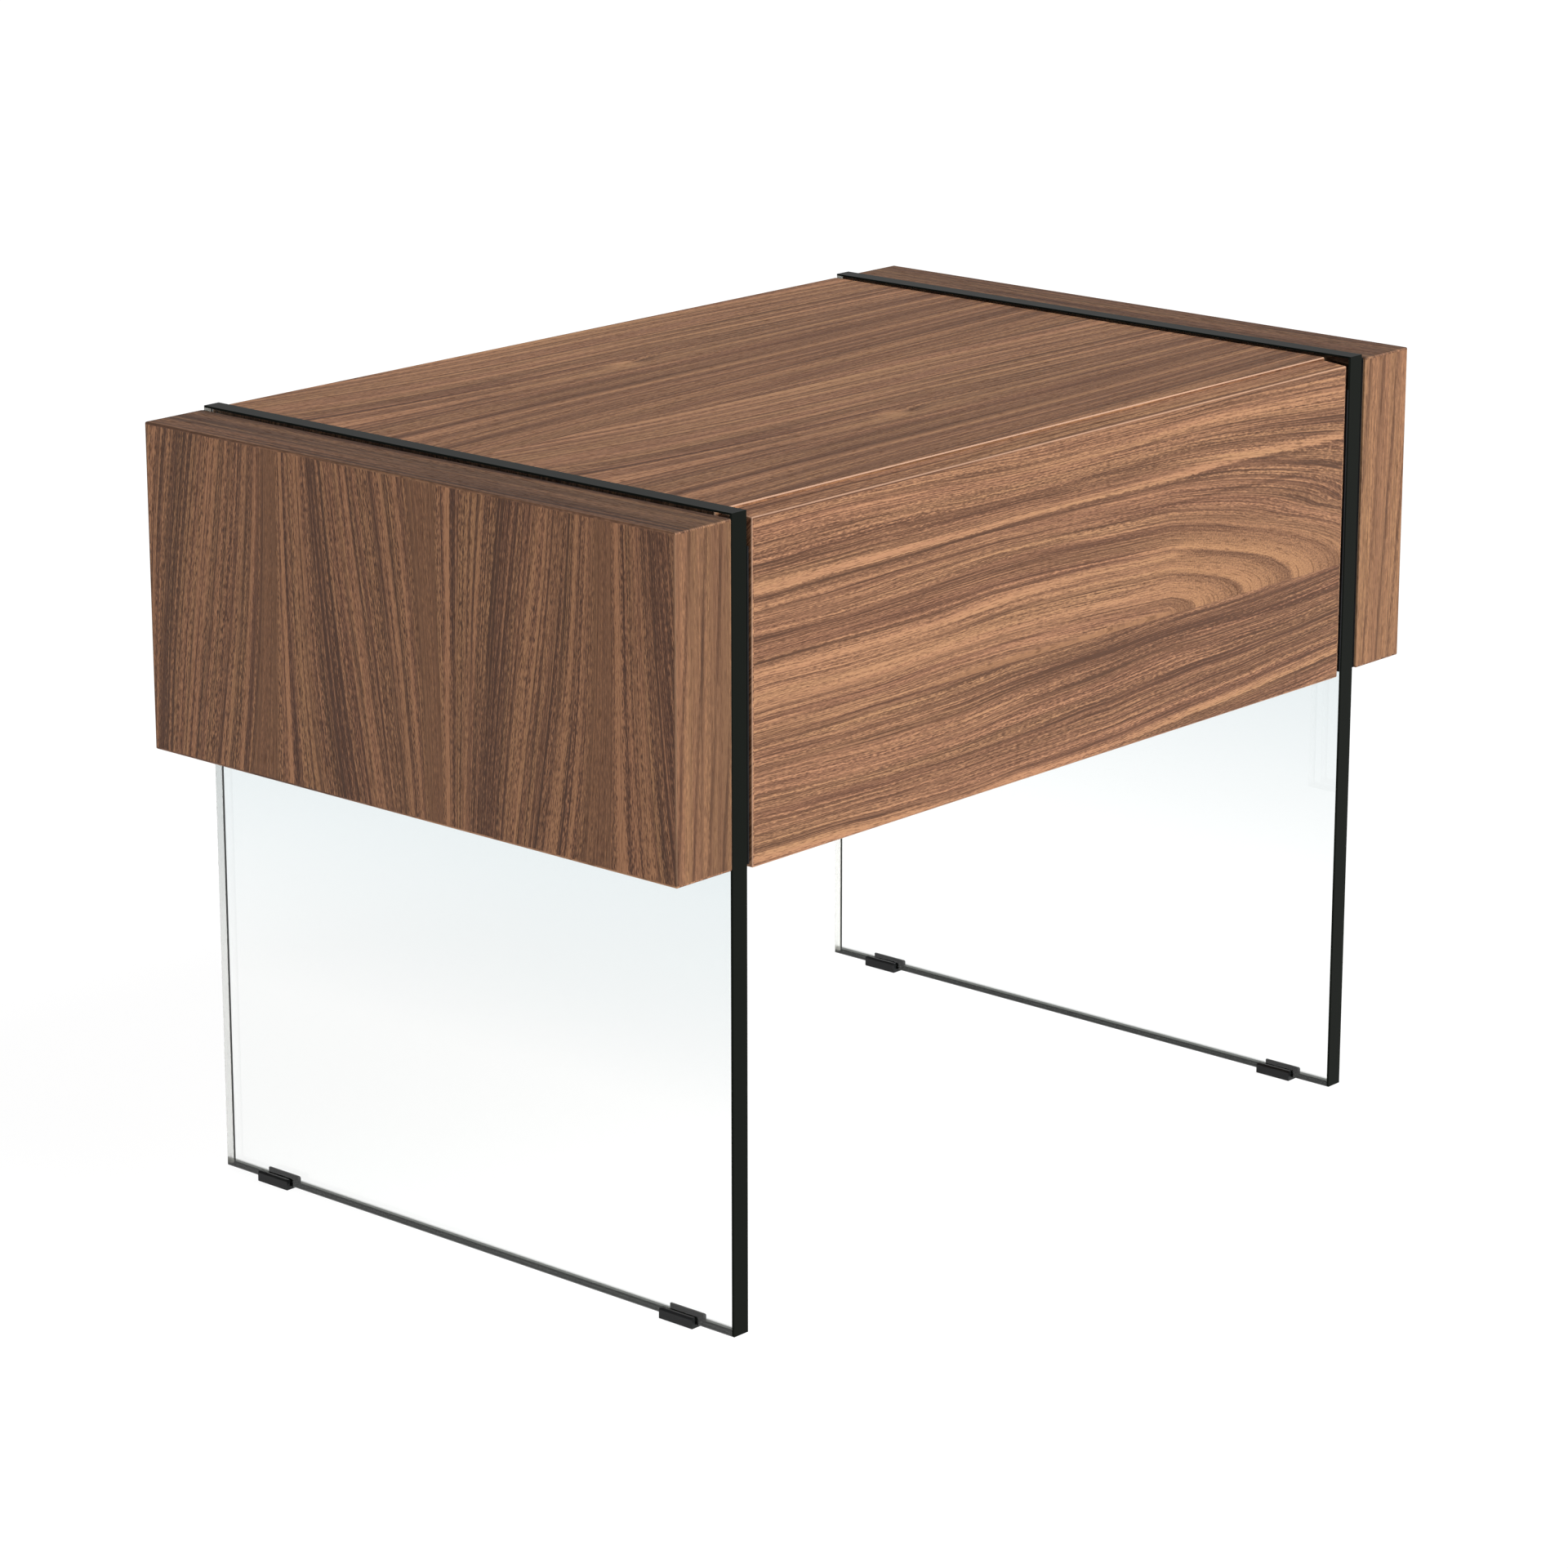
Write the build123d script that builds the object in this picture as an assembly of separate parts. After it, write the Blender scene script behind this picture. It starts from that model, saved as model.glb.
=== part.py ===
from build123d import *
import os

# Side table with one drawer. Two tempered glass sheets are the legs. A veneered
# block is clamped to the outside of each sheet, and a drawer case hangs between
# the sheets. Bolts run from inside the case, through the glass, into the blocks.
# Frame: +Z up, the drawer front faces -Y, origin on the floor under the centre.
# All sizes are in millimetres.

# ---------------------------------------------------------------- driving sizes
WIDTH = 600.0
DEPTH = 377.0
GLASS_THICK = 12.0
GLASS_HEIGHT = 425.0
GLASS_INSET = 1.4  # the glass's front edge sits this far behind the block's front
GLASS_ARRIS = 0.8  # ground and polished edge chamfer
SHOE_FLOOR = 2.0  # shoe material under the glass
BLOCK_THICK = 40.0
BLOCK_HEIGHT = 177.0
GLASS_PROUD = 2.0  # the glass stands this far above the wood
GASKET_THICK = 1.0
BOARD = 16.0  # case boards and drawer front
EDGING = 1.2  # real-wood edging strip
ARRIS = 0.9  # rounding of every visible wood corner
FRONT_DROP = 2.4  # the drawer front hangs this far below the blocks
FRONT_TOP_SLOPE = 1.3  # its top edge falls this much from back to front
FRONT_SIDE_GAP = 3.0  # between drawer front and glass
FRONT_INSET = 1.3  # drawer front behind the blocks' front
FRONT_BACK_GAP = 0.8  # between drawer front and case

# ---------------------------------------------------------------- worked out
FRONT_Y = -DEPTH / 2
BACK_Y = DEPTH / 2
GLASS_BOTTOM = SHOE_FLOOR
GLASS_TOP = GLASS_BOTTOM + GLASS_HEIGHT
WOOD_TOP = GLASS_TOP - GLASS_PROUD
WOOD_BOTTOM = WOOD_TOP - BLOCK_HEIGHT
BLOCK_OUTER = WIDTH / 2
BLOCK_INNER = BLOCK_OUTER - BLOCK_THICK
GLASS_OUTER = BLOCK_INNER - GASKET_THICK
GLASS_INNER = GLASS_OUTER - GLASS_THICK
CASE_OUTER = GLASS_INNER - GASKET_THICK
CASE_INNER = CASE_OUTER - BOARD
GLASS_FRONT = FRONT_Y + GLASS_INSET
GLASS_BACK = BACK_Y
DRAWER_FACE = FRONT_Y + FRONT_INSET
DRAWER_FACE_BACK = DRAWER_FACE + BOARD
CASE_FRONT = DRAWER_FACE_BACK + FRONT_BACK_GAP
BACK_PANEL_FRONT = BACK_Y - BOARD
TOP_UNDERSIDE = WOOD_TOP - BOARD

# Side blocks
SKIN = 9.0
CORE_STILE = 70.0
CORE_RAIL = 30.0

# Shoes
SHOE_LENGTH = 23.0
SHOE_CENTRE = 39.0  # from the front or back of the block
SHOE_WALL = 2.2
SHOE_RISE = 4.0  # wall height above the glass bottom
SHOE_CHAMFER = 1.0  # along the top of its walls
SHOE_ROUND = 0.5  # round its foot

# Bolts through the glass
BOLT_END = 44.0  # bolt centre from the front or back of the block
BOLT_LOW = 37.0  # above the wood's underside
BOLT_HIGH = 140.0
BOLT_R = 2.95
BOLT_LENGTH = 45.0
BOLT_HEAD_R = 8.5
BOLT_HEAD = 1.8
BOLT_HOLE_R = 3.4
BOLT_HEAD_CHAMFER = 0.6
SOCKET_SIZE = 4.0  # hex key, across flats
SOCKET_DEPTH = 3.0
BUSH_R = 4.9
BUSH_BORE_R = 3.1
GLASS_HOLE_R = 5.0
INSERT_R = 4.5
INSERT_BORE_R = 3.0
INSERT_LENGTH = 13.0
INSERT_POCKET = 17.0

# Dowels
DOWEL_R = 4.0
BOX_DOWEL_R = 3.0

# Case
TOP_SIDE_GAP = 0.3  # between the top panel and the glass
GRIP_SETBACK = 22.0  # the case bottom stops short so that fingers reach the front
BUMPER_HEAD = 0.5
BUMPER_HEAD_R = 4.0
BUMPER_STEM = 8.0
BUMPER_STEM_R = 2.2
GASKET_MARGIN = 0.3  # the gaskets stop this far inside the wood's outline

# Ball-bearing slides
SLIDE_GAP = 12.7  # case side to drawer side
SLIDE_LENGTH = 300.0
SLIDE_Z = WOOD_BOTTOM + 82.0
SLIDE_FRONT = CASE_FRONT + 2.0
SHEET = 1.2
RAIL_R = 0.4
BALL_R = 1.6
BALL_PLAY = 0.15
CAGE_SHEET = 0.6
CAGE_LENGTH = 140.0
CAGE_START = 80.0
BALL_PITCH = 14.0
BALLS_PER_ROW = 10
SLIDE_SCREW_OFFSETS = (36.0, 164.0, 268.0)  # behind the slide's front end
RAIL_STOP = 8.0  # half the height of the cabinet rail's end stop
RAIL_SHORTER = 1.0  # the moving rails are this much shorter than the cabinet rail
WINDOW_R = 6.0  # hole in the middle rail that a driver goes through
DRAWER_RAIL_HOLE_R = 2.1

# Screws
PAN_SCREW_R = 1.75
PAN_HEAD_R = 3.6
PAN_HEAD = 2.2
PAN_CROWN = 1.2  # rounding of the head
WOOD_SCREW_R = 1.8
WOOD_HEAD_R = 3.8
WOOD_HEAD = 2.0  # height of the countersunk head
WOOD_SCREW_BITE = 11.0  # full thickness of shank inside the case side
SCREW_TIP = 2.5
SCREW_POINT_R = 0.2
RECESS_ARM = 4.3  # cross recess, across and wide
RECESS_SLOT = 0.9
RECESS_DEPTH = 1.2

# Drawer box
BOX_BOARD = 12.0
BOX_DEPTH = 313.0
BOX_BOTTOM = WOOD_BOTTOM + 23.0
BOX_TOP = BOX_BOTTOM + 118.0
BOX_OUTER = CASE_INNER - SLIDE_GAP
BOX_INNER = BOX_OUTER - BOX_BOARD
BOX_FRONT = DRAWER_FACE_BACK
BOX_BACK = BOX_FRONT + BOX_DEPTH
FLOOR_THICK = 5.0
FLOOR_Z = BOX_BOTTOM + 9.0
GROOVE_DEPTH = 6.0
GROOVE_PLAY = 0.1
FLOOR_PLAY = 0.5  # between the floor's edge and the bottom of its groove
BOX_TOP_ROUND = 1.5
GRIP_BEVEL = 9.0  # along the front's lower back edge

SIDES = (("left", -1), ("right", 1))
PAST = 1.0  # a cutting shape runs this far past the surface that it cuts


# ---------------------------------------------------------------- helpers
def board(x, y, z):
    """A box from its limits: x, y and z are (low, high) pairs in any order."""
    lows = [min(pair) for pair in (x, y, z)]
    sizes = [abs(pair[1] - pair[0]) for pair in (x, y, z)]
    return Pos(*lows) * Box(*sizes, align=(Align.MIN, Align.MIN, Align.MIN))


def side_x(sign, *distances):
    """Distances from the middle plane, as x on one side of the table."""
    return tuple(sign * d for d in distances)


def rod(start, end, radius):
    """A round bar from start to end."""
    a, b = Vector(*start), Vector(*end)
    length = (b - a).length
    bar = Cylinder(radius, length, align=(Align.CENTER, Align.CENTER, Align.MIN))
    return Plane(origin=a, z_dir=(b - a).normalized()) * bar


def cone(start, end, start_r, end_r):
    a, b = Vector(*start), Vector(*end)
    shape = Cone(start_r, end_r, (b - a).length, align=(Align.CENTER, Align.CENTER, Align.MIN))
    return Plane(origin=a, z_dir=(b - a).normalized()) * shape


def softened(solid, radius):
    return fillet(solid.edges(), radius)


def save(name, *shapes):
    """Writes one STEP file that holds the given solids as one named node."""
    solids = [s for shape in shapes for s in shape.solids()]
    whole = solids[0] if len(solids) == 1 else Compound(children=solids)
    whole.label = name
    export_step(whole, f"parts/{name}.step")


# ---------------------------------------------------------------- fixing places
BOLT_YS = (FRONT_Y + BOLT_END, BACK_Y - BOLT_END)
BOLT_ZS = (WOOD_BOTTOM + BOLT_LOW, WOOD_BOTTOM + BOLT_HIGH)
BOLT_PLACES = [(y, z) for y in BOLT_YS for z in BOLT_ZS]


def bolt_bores(sign, near, far, radius):
    """Cylinders on every bolt axis between two distances from the middle plane."""
    return [rod((sign * near, y, z), (sign * far, y, z), radius) for y, z in BOLT_PLACES]


def cut(solid, tools):
    for tool in tools:
        solid = solid - tool
    return solid


# ---------------------------------------------------------------- glass and shoes
def glass_panel(sign):
    x = side_x(sign, GLASS_INNER, GLASS_OUTER)
    sheet = board(x, (GLASS_FRONT, GLASS_BACK), (GLASS_BOTTOM, GLASS_TOP))
    faces = sheet.faces().filter_by(Axis.X)
    sheet = chamfer(faces.edges(), GLASS_ARRIS)
    return cut(sheet, bolt_bores(sign, GLASS_INNER - PAST, GLASS_OUTER + PAST, GLASS_HOLE_R))


def glass_bush(sign, y, z):
    """Plastic sleeve that keeps the bolt off the glass."""
    outer = rod((sign * GLASS_INNER, y, z), (sign * GLASS_OUTER, y, z), BUSH_R)
    near, far = side_x(sign, GLASS_INNER - PAST, GLASS_OUTER + PAST)
    return outer - rod((near, y, z), (far, y, z), BUSH_BORE_R)


def shoe(sign, centre_y):
    """A U-shaped glide that the bottom edge of the glass stands in."""
    y = (centre_y - SHOE_LENGTH / 2, centre_y + SHOE_LENGTH / 2)
    near, far = GLASS_INNER - SHOE_WALL, GLASS_OUTER + SHOE_WALL
    block = board(side_x(sign, near, far), y, (0, GLASS_BOTTOM + SHOE_RISE))
    top_edges = block.edges().filter_by(Axis.Y).group_by(Axis.Z)[-1]
    block = chamfer(top_edges, SHOE_CHAMFER)
    bottom_edges = block.faces().sort_by(Axis.Z)[0].edges()
    block = fillet(bottom_edges, SHOE_ROUND)
    slot_y = (y[0] - PAST, y[1] + PAST)
    slot_z = (GLASS_BOTTOM, GLASS_BOTTOM + SHOE_RISE + PAST)
    return block - board(side_x(sign, GLASS_INNER, GLASS_OUTER), slot_y, slot_z)


def gasket(sign, near, far, y, z):
    """Soft black sheet between glass and wood, with a hole for each bolt."""
    sheet = board(side_x(sign, near, far), y, z)
    return cut(sheet, bolt_bores(sign, near - PAST, far + PAST, BUSH_R))


# ---------------------------------------------------------------- side blocks
def block_pieces(sign):
    """The hollow block: two skins on a core frame, edged on all four edges."""
    y, z = (FRONT_Y, BACK_Y), (WOOD_BOTTOM, WOOD_TOP)
    whole = softened(board(side_x(sign, BLOCK_INNER, BLOCK_OUTER), y, z), ARRIS)
    all_x = side_x(sign, BLOCK_INNER - PAST, BLOCK_OUTER + PAST)
    inner_y = (FRONT_Y + EDGING, BACK_Y - EDGING)
    inner_z = (WOOD_BOTTOM + EDGING, WOOD_TOP - EDGING)
    face_x = side_x(sign, BLOCK_OUTER - SKIN, BLOCK_OUTER + PAST)
    backer_x = side_x(sign, BLOCK_INNER - PAST, BLOCK_INNER + SKIN)
    core_x = side_x(sign, BLOCK_INNER + SKIN, BLOCK_OUTER - SKIN)
    pockets = bolt_bores(sign, BLOCK_INNER - PAST, BLOCK_INNER + INSERT_POCKET, INSERT_R)
    stile_ys = ((inner_y[0], inner_y[0] + CORE_STILE), (inner_y[1] - CORE_STILE, inner_y[1]))
    rail_y = (stile_ys[0][1], stile_ys[1][0])
    rail_zs = ((inner_z[0], inner_z[0] + CORE_RAIL), (inner_z[1] - CORE_RAIL, inner_z[1]))
    stiles = [cut(board(core_x, stile_y, inner_z), pockets) for stile_y in stile_ys]
    rails = [board(core_x, rail_y, rail_z) for rail_z in rail_zs]
    long_y = (y[0] - PAST, y[1] + PAST)
    level_zs = ((inner_z[1], z[1] + PAST), (z[0] - PAST, inner_z[0]))
    upright_ys = ((y[0] - PAST, inner_y[0]), (inner_y[1], y[1] + PAST))
    return {
        "block_face": [whole & board(face_x, inner_y, inner_z)],
        "block_backer": [cut(whole & board(backer_x, inner_y, inner_z), pockets)],
        "block_core": stiles + rails,
        "block_level_edging": [whole & board(all_x, long_y, level_z) for level_z in level_zs],
        "block_upright_edging": [whole & board(all_x, end_y, inner_z) for end_y in upright_ys],
    }


def threaded_insert(sign, y, z):
    start, end = BLOCK_INNER, BLOCK_INNER + INSERT_LENGTH
    body = rod((sign * start, y, z), (sign * end, y, z), INSERT_R)
    near, far = side_x(sign, start - PAST, end + PAST)
    return body - rod((near, y, z), (far, y, z), INSERT_BORE_R)


def connector_bolt(sign, y, z):
    """Flat-headed furniture bolt with a hex socket. It points outwards."""
    seat = CASE_INNER
    shank = rod((sign * seat, y, z), (sign * (seat + BOLT_LENGTH), y, z), BOLT_R)
    head = rod((sign * (seat - BOLT_HEAD), y, z), (sign * seat, y, z), BOLT_HEAD_R)
    rim = head.faces().sort_by(Axis.X)[0 if sign > 0 else -1].edges()
    head = chamfer(rim, BOLT_HEAD_CHAMFER)
    mouth = Plane(origin=(sign * (seat - BOLT_HEAD - PAST), y, z), z_dir=(sign, 0, 0))
    hexagon = mouth * RegularPolygon(SOCKET_SIZE / 2, 6, major_radius=False)
    socket = extrude(hexagon, PAST + SOCKET_DEPTH)
    return head + shank - socket


# ---------------------------------------------------------------- drawer case
TOP_DOWEL_END = 80.0  # from the front and the back
BOTTOM_DOWEL_FRONT = 75.0
BOTTOM_DOWEL_BACK = 65.0
BACK_DOWEL_HEIGHTS = (55.0, 120.0)
BACK_DOWEL_SPREAD = 120.0
TOP_DOWEL_YS = (FRONT_Y + TOP_DOWEL_END, 0.0, BACK_Y - TOP_DOWEL_END)
BOTTOM_DOWEL_YS = (FRONT_Y + BOTTOM_DOWEL_FRONT, 0.0, BACK_Y - BOTTOM_DOWEL_BACK)
BACK_DOWEL_ZS = [WOOD_BOTTOM + height for height in BACK_DOWEL_HEIGHTS]
BACK_TOP_DOWEL_XS = (-BACK_DOWEL_SPREAD, 0.0, BACK_DOWEL_SPREAD)
BACK_BOTTOM_DOWEL_XS = (-BACK_DOWEL_SPREAD, BACK_DOWEL_SPREAD)
SIDE_MIDDLE = CASE_INNER + BOARD / 2
BACK_MIDDLE = BACK_PANEL_FRONT + BOARD / 2
BOTTOM_MIDDLE = WOOD_BOTTOM + BOARD / 2
DOWEL_IN_FACE = 10.0
DOWEL_IN_END = 18.0
DOWEL_IN_BOTTOM = 12.0
BUMPER_LOW = 22.0  # above the case's underside
BUMPER_HIGH = 35.0  # below the top panel
BUMPER_ZS = (WOOD_BOTTOM + BUMPER_LOW, TOP_UNDERSIDE - BUMPER_HIGH)
BUMPER_PLACES = [(sign * SIDE_MIDDLE, z) for _, sign in SIDES for z in BUMPER_ZS]


def case_dowels():
    """Every wooden dowel that holds the case together."""
    low, high = TOP_UNDERSIDE - DOWEL_IN_END, TOP_UNDERSIDE + DOWEL_IN_FACE
    dowels = []
    for _, sign in SIDES:
        x = sign * SIDE_MIDDLE
        dowels += [rod((x, y, low), (x, y, high), DOWEL_R) for y in TOP_DOWEL_YS]
        for y in BOTTOM_DOWEL_YS:
            near, far = sign * (CASE_INNER - DOWEL_IN_BOTTOM), sign * (CASE_INNER + DOWEL_IN_FACE)
            dowels.append(rod((near, y, BOTTOM_MIDDLE), (far, y, BOTTOM_MIDDLE), DOWEL_R))
        for z in BACK_DOWEL_ZS:
            start, end = BACK_PANEL_FRONT - DOWEL_IN_END, BACK_PANEL_FRONT + DOWEL_IN_FACE
            dowels.append(rod((x, start, z), (x, end, z), DOWEL_R))
    for x in BACK_TOP_DOWEL_XS:
        dowels.append(rod((x, BACK_MIDDLE, low), (x, BACK_MIDDLE, high), DOWEL_R))
    for x in BACK_BOTTOM_DOWEL_XS:
        start, end = BACK_PANEL_FRONT - DOWEL_IN_BOTTOM, BACK_PANEL_FRONT + DOWEL_IN_FACE
        dowels.append(rod((x, start, BOTTOM_MIDDLE), (x, end, BOTTOM_MIDDLE), DOWEL_R))
    return dowels


def top_pieces():
    """The table's top board and the strips on its front and back edges."""
    half = GLASS_INNER - TOP_SIDE_GAP
    whole = softened(board((-half, half), (CASE_FRONT, BACK_Y), (TOP_UNDERSIDE, WOOD_TOP)), ARRIS)
    all_x, all_z = (-half - PAST, half + PAST), (TOP_UNDERSIDE - PAST, WOOD_TOP + PAST)
    core_y = (CASE_FRONT + EDGING, BACK_Y - EDGING)
    strip_ys = ((CASE_FRONT - PAST, core_y[0]), (core_y[1], BACK_Y + PAST))
    return {
        "top_panel": [cut(whole & board(all_x, core_y, all_z), case_dowels())],
        "top_panel_edging": [whole & board(all_x, strip_y, all_z) for strip_y in strip_ys],
    }


def cabinet_screw_places(sign):
    return [(sign * CASE_INNER, SLIDE_FRONT + offset, SLIDE_Z) for offset in SLIDE_SCREW_OFFSETS]


def countersunk_head(sign, x, y, z):
    """The cone of a countersunk screw, and the x of its neck. x is the case side's surface."""
    face = x - sign * SHEET
    neck = face + sign * WOOD_HEAD
    return cone((face, y, z), (neck, y, z), WOOD_HEAD_R, WOOD_SCREW_R), neck


def countersunk_screw(sign, x, y, z):
    """Countersunk wood screw that fixes a slide to a case side, pointing outwards."""
    head, neck = countersunk_head(sign, x, y, z)
    shoulder = x + sign * WOOD_SCREW_BITE
    end = shoulder + sign * SCREW_TIP
    shank = rod((neck, y, z), (shoulder, y, z), WOOD_SCREW_R)
    tip = cone((shoulder, y, z), (end, y, z), WOOD_SCREW_R, SCREW_POINT_R)
    recess = Box(2 * RECESS_DEPTH, RECESS_ARM, RECESS_SLOT) + Box(2 * RECESS_DEPTH, RECESS_SLOT, RECESS_ARM)
    return head + shank + tip - Pos(x - sign * SHEET, y, z) * recess


def screw_hole(sign, x, y, z):
    """The hole that a countersunk screw fills, in the case side and in the slide's web."""
    head, neck = countersunk_head(sign, x, y, z)
    return head + rod((neck, y, z), (x + sign * (WOOD_SCREW_BITE + SCREW_TIP), y, z), WOOD_SCREW_R)


def bumper_stem(x, z):
    return rod((x, CASE_FRONT, z), (x, CASE_FRONT + BUMPER_STEM, z), BUMPER_STEM_R)


def bumper(x, z):
    """Push-in bumper in the front edge of a case side, which the drawer front closes on."""
    head = rod((x, CASE_FRONT - BUMPER_HEAD, z), (x, CASE_FRONT, z), BUMPER_HEAD_R)
    return head + bumper_stem(x, z)


def case_side(sign):
    x, y = side_x(sign, CASE_INNER, CASE_OUTER), (CASE_FRONT, BACK_PANEL_FRONT)
    panel = board(x, y, (WOOD_BOTTOM, TOP_UNDERSIDE))
    panel = cut(panel, bolt_bores(sign, CASE_INNER - PAST, CASE_OUTER + PAST, BOLT_HOLE_R))
    panel = cut(panel, case_dowels() + [bumper_stem(x, z) for x, z in BUMPER_PLACES])
    return cut(panel, [screw_hole(sign, *place) for place in cabinet_screw_places(sign)])


def case_bottom():
    y = (CASE_FRONT + GRIP_SETBACK, BACK_PANEL_FRONT)
    panel = board((-CASE_INNER, CASE_INNER), y, (WOOD_BOTTOM, WOOD_BOTTOM + BOARD))
    return cut(panel, case_dowels())


def case_back():
    x, y = (-CASE_OUTER, CASE_OUTER), (BACK_PANEL_FRONT, BACK_Y)
    panel = board(x, y, (WOOD_BOTTOM, TOP_UNDERSIDE))
    outside = panel.faces().sort_by(Axis.Y)[-1]
    panel = fillet(outside.edges(), ARRIS)
    return cut(panel, case_dowels())


# ---------------------------------------------------------------- slides
# A slide's section is drawn in (a, z): a runs from the case side towards the
# drawer, and z is the height from the slide's centre.
OUTER_TOP = 22.7
OUTER_DEPTH = 9.4
OUTER_LIP = 1.3
OUTER_BALL_A = 5.6
MIDDLE_WEB_A = 2.3
MIDDLE_DEPTH = 9.7
INNER_WEB_A = SLIDE_GAP - SHEET
INNER_FLANGE_A = 5.0
INNER_BALL_A = 6.6
OUTER_BALL_Z = OUTER_TOP - SHEET - BALL_PLAY - BALL_R
MIDDLE_TOP = OUTER_BALL_Z - BALL_R - BALL_PLAY
INNER_BALL_Z = MIDDLE_TOP - SHEET - BALL_PLAY - BALL_R
INNER_TOP = INNER_BALL_Z - BALL_R - BALL_PLAY
OUTER_CAGE_PLAY = 0.25
INNER_CAGE_PLAY = 0.3
OUTER_CAGE_A = SHEET + OUTER_CAGE_PLAY
INNER_CAGE_A = MIDDLE_WEB_A + SHEET + INNER_CAGE_PLAY
CAGE_LIP = 0.5  # the cage reaches this far past its balls
BALL_HOLE_PLAY = 0.1


def slide_bar(sign, a, y, z):
    """A box given by a slide's section coordinates."""
    x = side_x(sign, CASE_INNER - a[0], CASE_INNER - a[1])
    return board(x, y, (SLIDE_Z + z[0], SLIDE_Z + z[1]))


def channel(sign, web_a, flange_a, top, y):
    """A C-shaped rail: a web and two flanges that run from the web to flange_a."""
    rail = slide_bar(sign, web_a, y, (-top, top))
    for z in ((top - SHEET, top), (-top, -top + SHEET)):
        rail = rail + slide_bar(sign, flange_a, y, z)
    return rail


def rounded_rail(rail):
    long_edges = rail.edges().filter_by(Axis.Y).filter_by(lambda e: e.length > SLIDE_LENGTH / 2)
    return fillet(long_edges, RAIL_R)


def cabinet_rail(sign):
    y = (SLIDE_FRONT, SLIDE_FRONT + SLIDE_LENGTH)
    rail = channel(sign, (0, SHEET), (0, OUTER_DEPTH), OUTER_TOP, y)
    lip_a = (OUTER_DEPTH - SHEET, OUTER_DEPTH)
    lip_low = OUTER_TOP - SHEET - OUTER_LIP
    for z in ((lip_low, OUTER_TOP), (-OUTER_TOP, -lip_low)):
        rail = rail + slide_bar(sign, lip_a, y, z)
    rail = rounded_rail(rail)
    stop = slide_bar(sign, (0, OUTER_DEPTH), (y[1], y[1] + SHEET), (-RAIL_STOP, RAIL_STOP))
    return cut(rail + stop, [screw_hole(sign, *place) for place in cabinet_screw_places(sign)])


def middle_rail(sign):
    y = (SLIDE_FRONT, SLIDE_FRONT + SLIDE_LENGTH - RAIL_SHORTER)
    web_a = (MIDDLE_WEB_A, MIDDLE_WEB_A + SHEET)
    rail = rounded_rail(channel(sign, web_a, (MIDDLE_WEB_A, MIDDLE_DEPTH), MIDDLE_TOP, y))
    web_x = CASE_INNER - MIDDLE_WEB_A
    near, far = side_x(sign, web_x + PAST, web_x - SHEET - PAST)
    window_ys = [y[0] + offset for offset in SLIDE_SCREW_OFFSETS[1:]]
    return cut(rail, [rod((near, wy, SLIDE_Z), (far, wy, SLIDE_Z), WINDOW_R) for wy in window_ys])


def drawer_screw_places(sign):
    return [(sign * BOX_OUTER, SLIDE_FRONT + offset, SLIDE_Z) for offset in SLIDE_SCREW_OFFSETS]


def drawer_rail(sign):
    y = (SLIDE_FRONT, SLIDE_FRONT + SLIDE_LENGTH - RAIL_SHORTER)
    web_a = (INNER_WEB_A, INNER_WEB_A + SHEET)
    rail = rounded_rail(channel(sign, web_a, (INNER_FLANGE_A, SLIDE_GAP), INNER_TOP, y))
    near, far = side_x(sign, BOX_OUTER - PAST, BOX_OUTER + SHEET + PAST)
    places = drawer_screw_places(sign)
    return cut(rail, [rod((near, py, pz), (far, py, pz), DRAWER_RAIL_HOLE_R) for _, py, pz in places])


def ball_places(sign, ball_a, ball_z):
    x = sign * (CASE_INNER - ball_a)
    first = SLIDE_FRONT + CAGE_START + (CAGE_LENGTH - BALL_PITCH * (BALLS_PER_ROW - 1)) / 2
    ys = [first + BALL_PITCH * i for i in range(BALLS_PER_ROW)]
    return [(x, y, SLIDE_Z + dz) for y in ys for dz in (ball_z, -ball_z)]


def ball_cage(sign, web_start, ball_a, ball_z):
    """A C-shaped retainer with one hole per ball."""
    y = (SLIDE_FRONT + CAGE_START, SLIDE_FRONT + CAGE_START + CAGE_LENGTH)
    top = ball_z + CAGE_SHEET / 2
    flange_a = (web_start, ball_a + BALL_R + CAGE_LIP)
    cage = slide_bar(sign, (web_start, web_start + CAGE_SHEET), y, (-top, top))
    for z in ((top - CAGE_SHEET, top), (-top, -top + CAGE_SHEET)):
        cage = cage + slide_bar(sign, flange_a, y, z)
    hole = Cylinder(BALL_R + BALL_HOLE_PLAY, 2 * BALL_R)
    return cut(cage, [Pos(*place) * hole for place in ball_places(sign, ball_a, ball_z)])


def balls(sign, ball_a, ball_z):
    return [Pos(*place) * Sphere(BALL_R) for place in ball_places(sign, ball_a, ball_z)]


def pan_screw(place, direction, length):
    """Pan-head screw with a cross recess. place is under the head, direction is its shank's."""
    start, d = Vector(*place), Vector(*direction)
    seat = Plane(origin=start, z_dir=d)
    head = seat * Cylinder(PAN_HEAD_R, PAN_HEAD, align=(Align.CENTER, Align.CENTER, Align.MAX))
    crown = head.faces().sort_by(lambda f: (f.center() - start).dot(d))[0].edges()
    head = fillet(crown, PAN_CROWN)
    shoulder = start + d * (length - SCREW_TIP)
    shank = rod(start, shoulder, PAN_SCREW_R)
    tip = cone(shoulder, start + d * length, PAN_SCREW_R, SCREW_POINT_R)
    cross = Box(RECESS_ARM, RECESS_SLOT, 2 * RECESS_DEPTH) + Box(RECESS_SLOT, RECESS_ARM, 2 * RECESS_DEPTH)
    return head + shank + tip - Plane(origin=start - d * PAN_HEAD, z_dir=d) * cross


def pan_hole(place, direction, length, radius):
    start = Vector(*place)
    return rod(start, start + Vector(*direction) * length, radius)


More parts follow.
